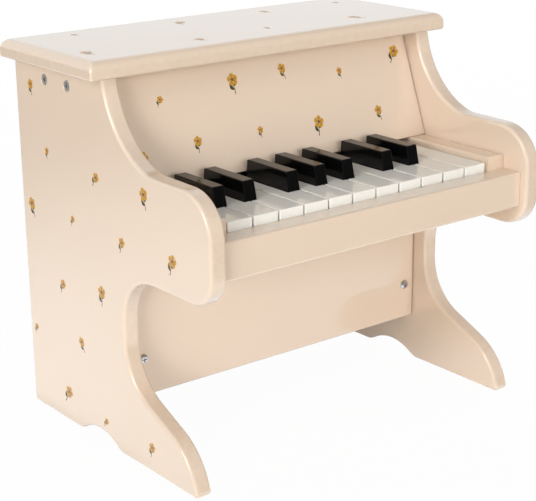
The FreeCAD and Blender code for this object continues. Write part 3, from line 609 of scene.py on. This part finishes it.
def camera():
    """The photograph's view."""
    forward = (CAMERA_TARGET - CAMERA_PLACE).normalized()
    level_right = forward.cross(UP).normalized()
    level_up = level_right.cross(forward)
    right = level_right * math.cos(CAMERA_ROLL) + level_up * math.sin(CAMERA_ROLL)
    up = level_up * math.cos(CAMERA_ROLL) - level_right * math.sin(CAMERA_ROLL)
    lens = bpy.data.cameras.new("photo_camera")
    lens.sensor_width = SENSOR_WIDTH
    lens.lens = FOCAL_PIXELS * SENSOR_WIDTH / PHOTO_WIDTH
    lens.clip_start, lens.clip_end = CLIP_RANGE
    view = add_object("photo_camera", lens)
    rotation = Matrix((right, up, -forward)).transposed().to_4x4()
    view.matrix_world = Matrix.Translation(CAMERA_PLACE) @ rotation
    bpy.context.scene.camera = view


# the lamps: softboxes all round, of which gloss shows only the left one and the weak top one
LAMP_TARGET = Vector((0.0, 0.0, 0.15))
SOFTBOXES = {
    "key": {"place": (-3.5, -2.25, 0.8), "size": (1.3, 1.4), "power": 56.0, "shows": False},
    "left": {"place": (-4.0, -1.2, 2.1), "size": (1.3, 2.0), "power": 70.0, "shows": True},
    "front": {"place": (0.3, -4.0, 1.0), "size": (2.4, 1.6), "power": 60.0, "shows": False},
    "top": {"place": (0.3, -2.6, 3.2), "size": (1.6, 1.0), "power": 3.0, "shows": True},
    "back": {"place": (0.8, 3.6, 2.4), "size": (2.4, 2.4), "power": 90.0, "shows": False},
    "right": {"place": (4.0, 0.6, 1.0), "size": (2.4, 1.6), "power": 70.0, "shows": False},
}


def softbox(name, place, size, power, shows):
    """An area lamp that the camera doesn't see, and that gloss may show."""
    lamp = bpy.data.lights.new(name, "AREA")
    lamp.shape = "RECTANGLE"
    lamp.size, lamp.size_y = size
    lamp.energy = power
    light = add_object(name, lamp)
    light.location = place
    light.rotation_euler = (LAMP_TARGET - Vector(place)).to_track_quat("-Z", "Y").to_euler()
    light.visible_camera = False
    light.visible_glossy = shows


# the world, which lights the object evenly and is white to the camera
WORLD_LEVEL = 0.31
# what gloss shows of it: a bright sweep behind the object, and in front a dim room, brighter higher up
SWEEP_SIDE = Vector((-0.5, 0.87, 0.0))
SWEEP_BLEND = (-0.2, 0.2)
BACK_GLOSS = 0.92
FRONT_GLOSS = 0.08
HIGH_GLOSS = 0.3
HIGH_BLEND = (0.08, 0.3)


def surroundings():
    """The white world."""
    world = bpy.data.worlds.new("studio")
    bpy.context.scene.world = world
    world.use_nodes = True
    tree = Nodes(world.node_tree)
    direction = tree.add("ShaderNodeTexCoord").outputs["Generated"]
    sweep = tree.along(direction, SWEEP_SIDE)
    front = tree.ramp(tree.along(direction, UP), *HIGH_BLEND, FRONT_GLOSS, HIGH_GLOSS)
    shine = tree.ramp(sweep, *SWEEP_BLEND, front, BACK_GLOSS, shape="SMOOTHSTEP")
    level = tree.by_ray(seen=1.0, shine=shine, light=WORLD_LEVEL)
    white = tree.add("ShaderNodeBackground", {"Color": WHITE, "Strength": level})
    tree.add("ShaderNodeOutputWorld", {"Surface": white.outputs[0]})


# the floor: the light that its paper throws back, and the even white that the camera mostly sees instead
FLOOR_RADIUS = 30.0
FLOOR_SEGMENTS = 96
FLOOR_PAPER = 0.8
FLOOR_GLOW = 0.97
# what gloss shows of it, a painted glow since the floor is no lamp: painted light, bright near the object,
# and dim far off
SWEEP_RADII = (0.25, 1.35)
FRONT_RADII = (0.3, 0.6)
FLOOR_NEAR_GLOSS = 1.3
FRONT_NEAR_GLOSS = 1.2
FLOOR_FAR_GLOSS = 0.2
# painted shade in that glow, on the floor under and behind the object: its left, right and front borders
SHADE_LEFT = (-0.19, -0.15)
SHADE_RIGHT = (0.21, 0.17)
SHADE_FRONT = (-0.04, 0.04)
PAINTED_SHADE_GLOSS = 0.3


def painted_floor_glow(tree):
    """What gloss shows of the floor: a painted glow, bright near the object and dim far off, with painted
    shade under and behind it.
    """
    place = tree.add("ShaderNodeTexCoord").outputs["Object"]
    distance = tree.add("ShaderNodeVectorMath", {0: place}, operation="LENGTH").outputs["Value"]
    back = tree.ramp(distance, *SWEEP_RADII, FLOOR_NEAR_GLOSS, FLOOR_FAR_GLOSS, shape="SMOOTHSTEP")
    front = tree.ramp(distance, *FRONT_RADII, FRONT_NEAR_GLOSS, FRONT_GLOSS, shape="SMOOTHSTEP")
    sweep = tree.along(place, SWEEP_SIDE)
    open_shine = tree.ramp(sweep, *SWEEP_BLEND, front, back, shape="SMOOTHSTEP")
    parts = tree.add("ShaderNodeSeparateXYZ", {"Vector": place}).outputs
    # painted shade: the glow is dimmed where the floor lies under and behind the object
    across = tree.math("MINIMUM", tree.ramp(parts["X"], *SHADE_LEFT), tree.ramp(parts["X"], *SHADE_RIGHT))
    shade = tree.math("MINIMUM", across, tree.ramp(parts["Y"], *SHADE_FRONT))
    return tree.ramp(shade, low_out=open_shine, high_out=PAINTED_SHADE_GLOSS)


def floor():
    """A white floor that keeps the object's shadow."""
    work = bmesh.new()
    bmesh.ops.create_circle(work, cap_ends=True, segments=FLOOR_SEGMENTS, radius=FLOOR_RADIUS)
    mesh = finished_mesh("floor", work)
    sheet = add_object("floor", mesh)
    paper = bpy.data.materials.new("floor_paper")
    mesh.materials.append(paper)
    paper.use_nodes = True
    tree = Nodes(paper.node_tree)
    # in gloss the floor glows with painted light and painted shade, and the camera sees an even white
    glow = tree.by_ray(seen=FLOOR_GLOW, shine=painted_floor_glow(tree), light=0.0)
    matt = tree.by_ray(seen=FLOOR_PAPER * (1 - FLOOR_GLOW), shine=0.0, light=FLOOR_PAPER)
    diffuse = tree.add("ShaderNodeBsdfDiffuse", {"Color": matt})
    emission = tree.add("ShaderNodeEmission", {"Strength": glow})
    total = tree.add("ShaderNodeAddShader", {0: diffuse.outputs[0], 1: emission.outputs[0]})
    tree.add("ShaderNodeOutputMaterial", {"Surface": total.outputs[0]})


bpy.context.scene.view_settings.view_transform = "Standard"
camera()
surroundings()
floor()
for lamp_name, lamp_facts in SOFTBOXES.items():
    softbox(lamp_name, **lamp_facts)
dress_nodes()
prints()
